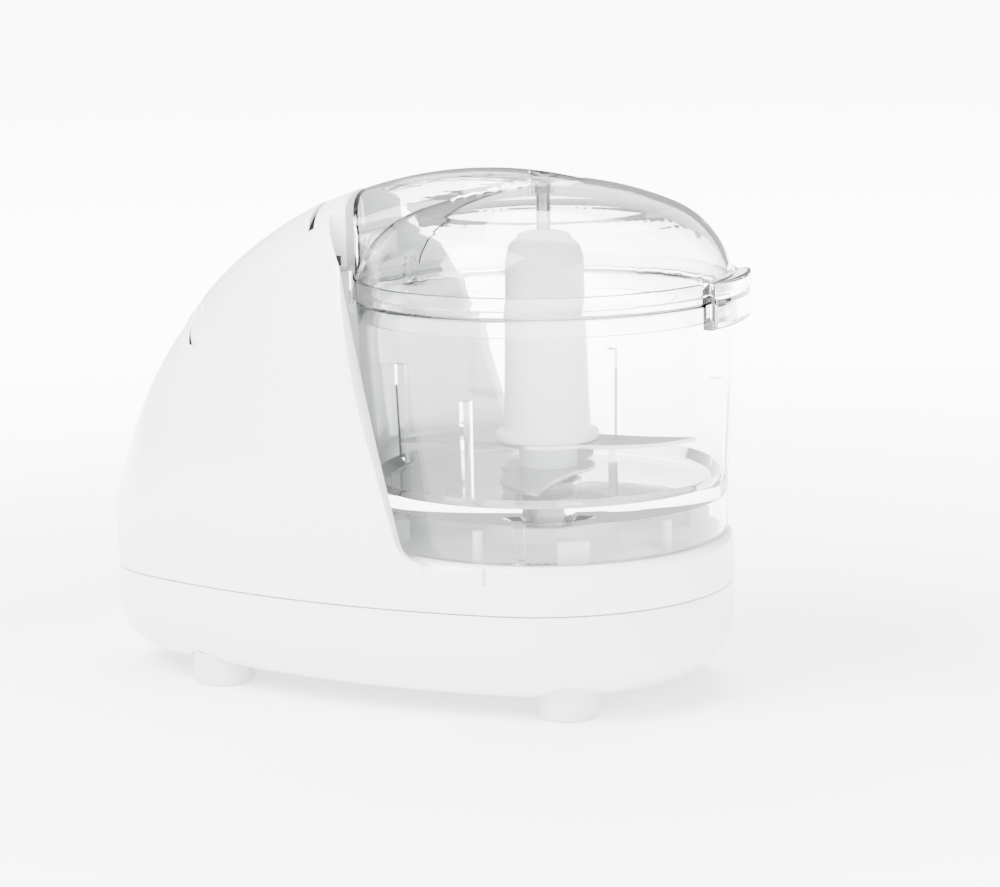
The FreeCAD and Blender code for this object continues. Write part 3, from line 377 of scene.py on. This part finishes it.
def plane(name, size, place, material):
    """A flat sheet for the stage."""
    mesh = bpy.data.meshes.new(name)
    bm = bmesh.new()
    bmesh.ops.create_grid(bm, x_segments=1, y_segments=1, size=size, matrix=place)
    bm.to_mesh(mesh)
    bm.free()
    sheet = bpy.data.objects.new(name, mesh)
    bpy.context.scene.collection.objects.link(sheet)
    mesh.materials.append(material)


def finished(name, bm, slot_name, body):
    """A new piece from a bmesh: closed, facing outward, dressed and riding on a body."""
    bmesh.ops.recalc_face_normals(bm, faces=bm.faces)
    mesh = bpy.data.meshes.new(name)
    bm.to_mesh(mesh)
    bm.free()
    mesh.transform(Matrix.Translation((AXIS_X, 0, 0)))
    piece = bpy.data.objects.new(name, mesh)
    bpy.context.scene.collection.objects.link(piece)
    dress(piece, slot_name)
    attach(piece, body)
    keep_edges(piece)


def add_block(bm, low, high, round_off):
    """A box with rounded edges between two corners in millimetres, measured from the bowl axis."""
    middle = [(a + b) / 2 * MM for a, b in zip(low, high)]
    size = [(b - a) * MM for a, b in zip(low, high)]
    place = Matrix.Translation(middle) @ Matrix.Diagonal((*size, 1.0))
    made = bmesh.ops.create_cube(bm, size=1.0, matrix=place)
    edges = {edge for vert in made["verts"] for edge in vert.link_edges}
    bmesh.ops.bevel(bm, geom=list(edges), offset=round_off * MM, offset_type="OFFSET", segments=2, profile=0.5,
                    affect="EDGES", material=-1, clamp_overlap=True)


def add_plug(bm, axis, hand):
    """A flush plug that closes the pivot pin's bore, its face slanted like the skin round it."""
    centre = Vector((axis.x - AXIS_X, hand * PLUG_MIDDLE, axis.z))
    place = Matrix.Translation(centre) @ Matrix.Rotation(math.pi / 2, 4, "X")
    made = bmesh.ops.create_cone(bm, cap_ends=True, segments=32, radius1=PLUG_RADIUS, radius2=PLUG_RADIUS,
                                 depth=PLUG_LENGTH, matrix=place)
    for vert in made["verts"]:
        if abs(vert.co.y) > PLUG_MIDDLE:
            away = vert.co - centre
            vert.co.y += hand * (PLUG_SLANT_X * away.x + PLUG_SLANT_Z * away.z)


# ---- operators ----

class OBJECT_OT_chopper_frame(bpy.types.Operator):
    """Finish every sub-part that keeps the shape of the design"""
    bl_idname = "object.chopper_frame"
    bl_label = "Casing and works"

    def execute(self, context):
        FINISHES.update(finishes(context.scene.chopper_finish))
        slots = {part["node"]: part["material_slot"] for part in frame["record"]["subparts"]}
        for name, piece in frame["nodes"].items():
            dress(piece, slots[name])
            soften(piece, ROUNDING.get(name, 0.0))
        return {"FINISHED"}


class OBJECT_OT_chopper_details(bpy.types.Operator):
    """Dark blocks as painted shade in the slots beside the collar, plugs over the button's pivot and the plate under
    the tray
    """
    bl_idname = "object.chopper_details"
    bl_label = "Small details"

    def execute(self, context):
        bm = bmesh.new()
        # Painted shade: the dark finish on these blocks stands for the shade in the slots beside the collar.
        for low, high in COLLAR_SLOT_SHADES:
            add_block(bm, low, high, COLLAR_SLOT_SHADE_ROUNDING)
        finished("collar_slots", bm, "dark_nylon", "power_unit")

        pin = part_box("button_pivot_pin")
        bm = bmesh.new()
        for hand in (-1, 1):
            add_plug(bm, (pin[0] + pin[1]) / 2, hand)
        finished("pin_plugs", bm, "button_abs", "button")

        bm = bmesh.new()
        add_block(bm, *RATING_PLATE, RATING_PLATE_ROUNDING)
        finished("rating_plate", bm, "steel", "power_unit")
        return {"FINISHED"}


class OBJECT_OT_chopper_stage(bpy.types.Operator):
    """Pale floor, soft light and the camera"""
    bl_idname = "object.chopper_stage"
    bl_label = "Stage"

    def execute(self, context):
        stage = context.scene.chopper_stage
        below = Matrix.Translation((0, 0, CAD_BOX[0][2] - FLOOR_DROP))
        plane("floor", stage.floor, below, floor_material(stage.glow))
        dark = Shader("black_card").set(Base_Color=(0.03, 0.03, 0.03, 1.0), Roughness=0.9)
        for name, place, turn in CARDS:
            upright = Matrix.Rotation(math.radians(turn), 4, "Z") @ Matrix.Rotation(math.pi / 2, 4, "X")
            plane(name, CARD_HALF_WIDTH, Matrix.Translation(place) @ upright, dark)

        world = bpy.data.worlds.new("surroundings")
        world.use_nodes = True
        sky = world.node_tree.nodes["Background"]
        sky.inputs["Color"].default_value = (1.0, 1.0, 1.0, 1.0)
        sky.inputs["Strength"].default_value = stage.daylight
        context.scene.world = world

        target = Vector((AXIS_X - 0.03, 0, 0.08))
        for name, place, width in LAMPS:
            light = bpy.data.lights.new(name, "AREA")
            light.energy = getattr(stage, name)
            light.size = width
            lamp = bpy.data.objects.new(name, light)
            lamp.location = place
            lamp.rotation_euler = (target - Vector(place)).to_track_quat("-Z", "Y").to_euler()
            context.scene.collection.objects.link(lamp)

        lens = bpy.data.cameras.new("camera")
        lens.lens = stage.lens
        lens.sensor_width = SENSOR_WIDTH
        lens.clip_start = CLIP_START
        camera = bpy.data.objects.new("camera", lens)
        turn = stage.azimuth
        place = Vector((AXIS_X + stage.distance * math.sin(turn), -stage.distance * math.cos(turn), stage.height))
        camera.matrix_world = (
            Matrix.Translation(place)
            @ Matrix.Rotation(turn + stage.pan, 4, "Z")
            @ Matrix.Rotation(math.pi / 2 - stage.tilt, 4, "X")
            @ Matrix.Rotation(stage.roll, 4, "Z")
        )
        context.scene.collection.objects.link(camera)
        context.scene.camera = camera
        return {"FINISHED"}


class VIEW3D_PT_chopper(bpy.types.Panel):
    """Buttons in the order in which they are pressed"""
    bl_label = "Mini chopper"
    bl_idname = "VIEW3D_PT_chopper"
    bl_space_type = "VIEW_3D"
    bl_region_type = "UI"
    bl_category = "Chopper"

    def draw(self, context):
        for step in STEPS:
            self.layout.operator(step.bl_idname)


STEPS = (OBJECT_OT_chopper_stage, OBJECT_OT_chopper_frame, OBJECT_OT_chopper_details)
CLASSES = (FinishSettings, StageSettings, *STEPS, VIEW3D_PT_chopper)


def register():
    for cls in CLASSES:
        bpy.utils.register_class(cls)
    bpy.types.Scene.chopper_finish = PointerProperty(type=FinishSettings)
    bpy.types.Scene.chopper_stage = PointerProperty(type=StageSettings)


def unregister():
    del bpy.types.Scene.chopper_stage
    del bpy.types.Scene.chopper_finish
    for cls in reversed(CLASSES):
        bpy.utils.unregister_class(cls)


def main():
    register()
    bpy.ops.object.chopper_stage()
    bpy.ops.object.chopper_frame()
    bpy.ops.object.chopper_details()


if __name__ == "__main__":
    main()
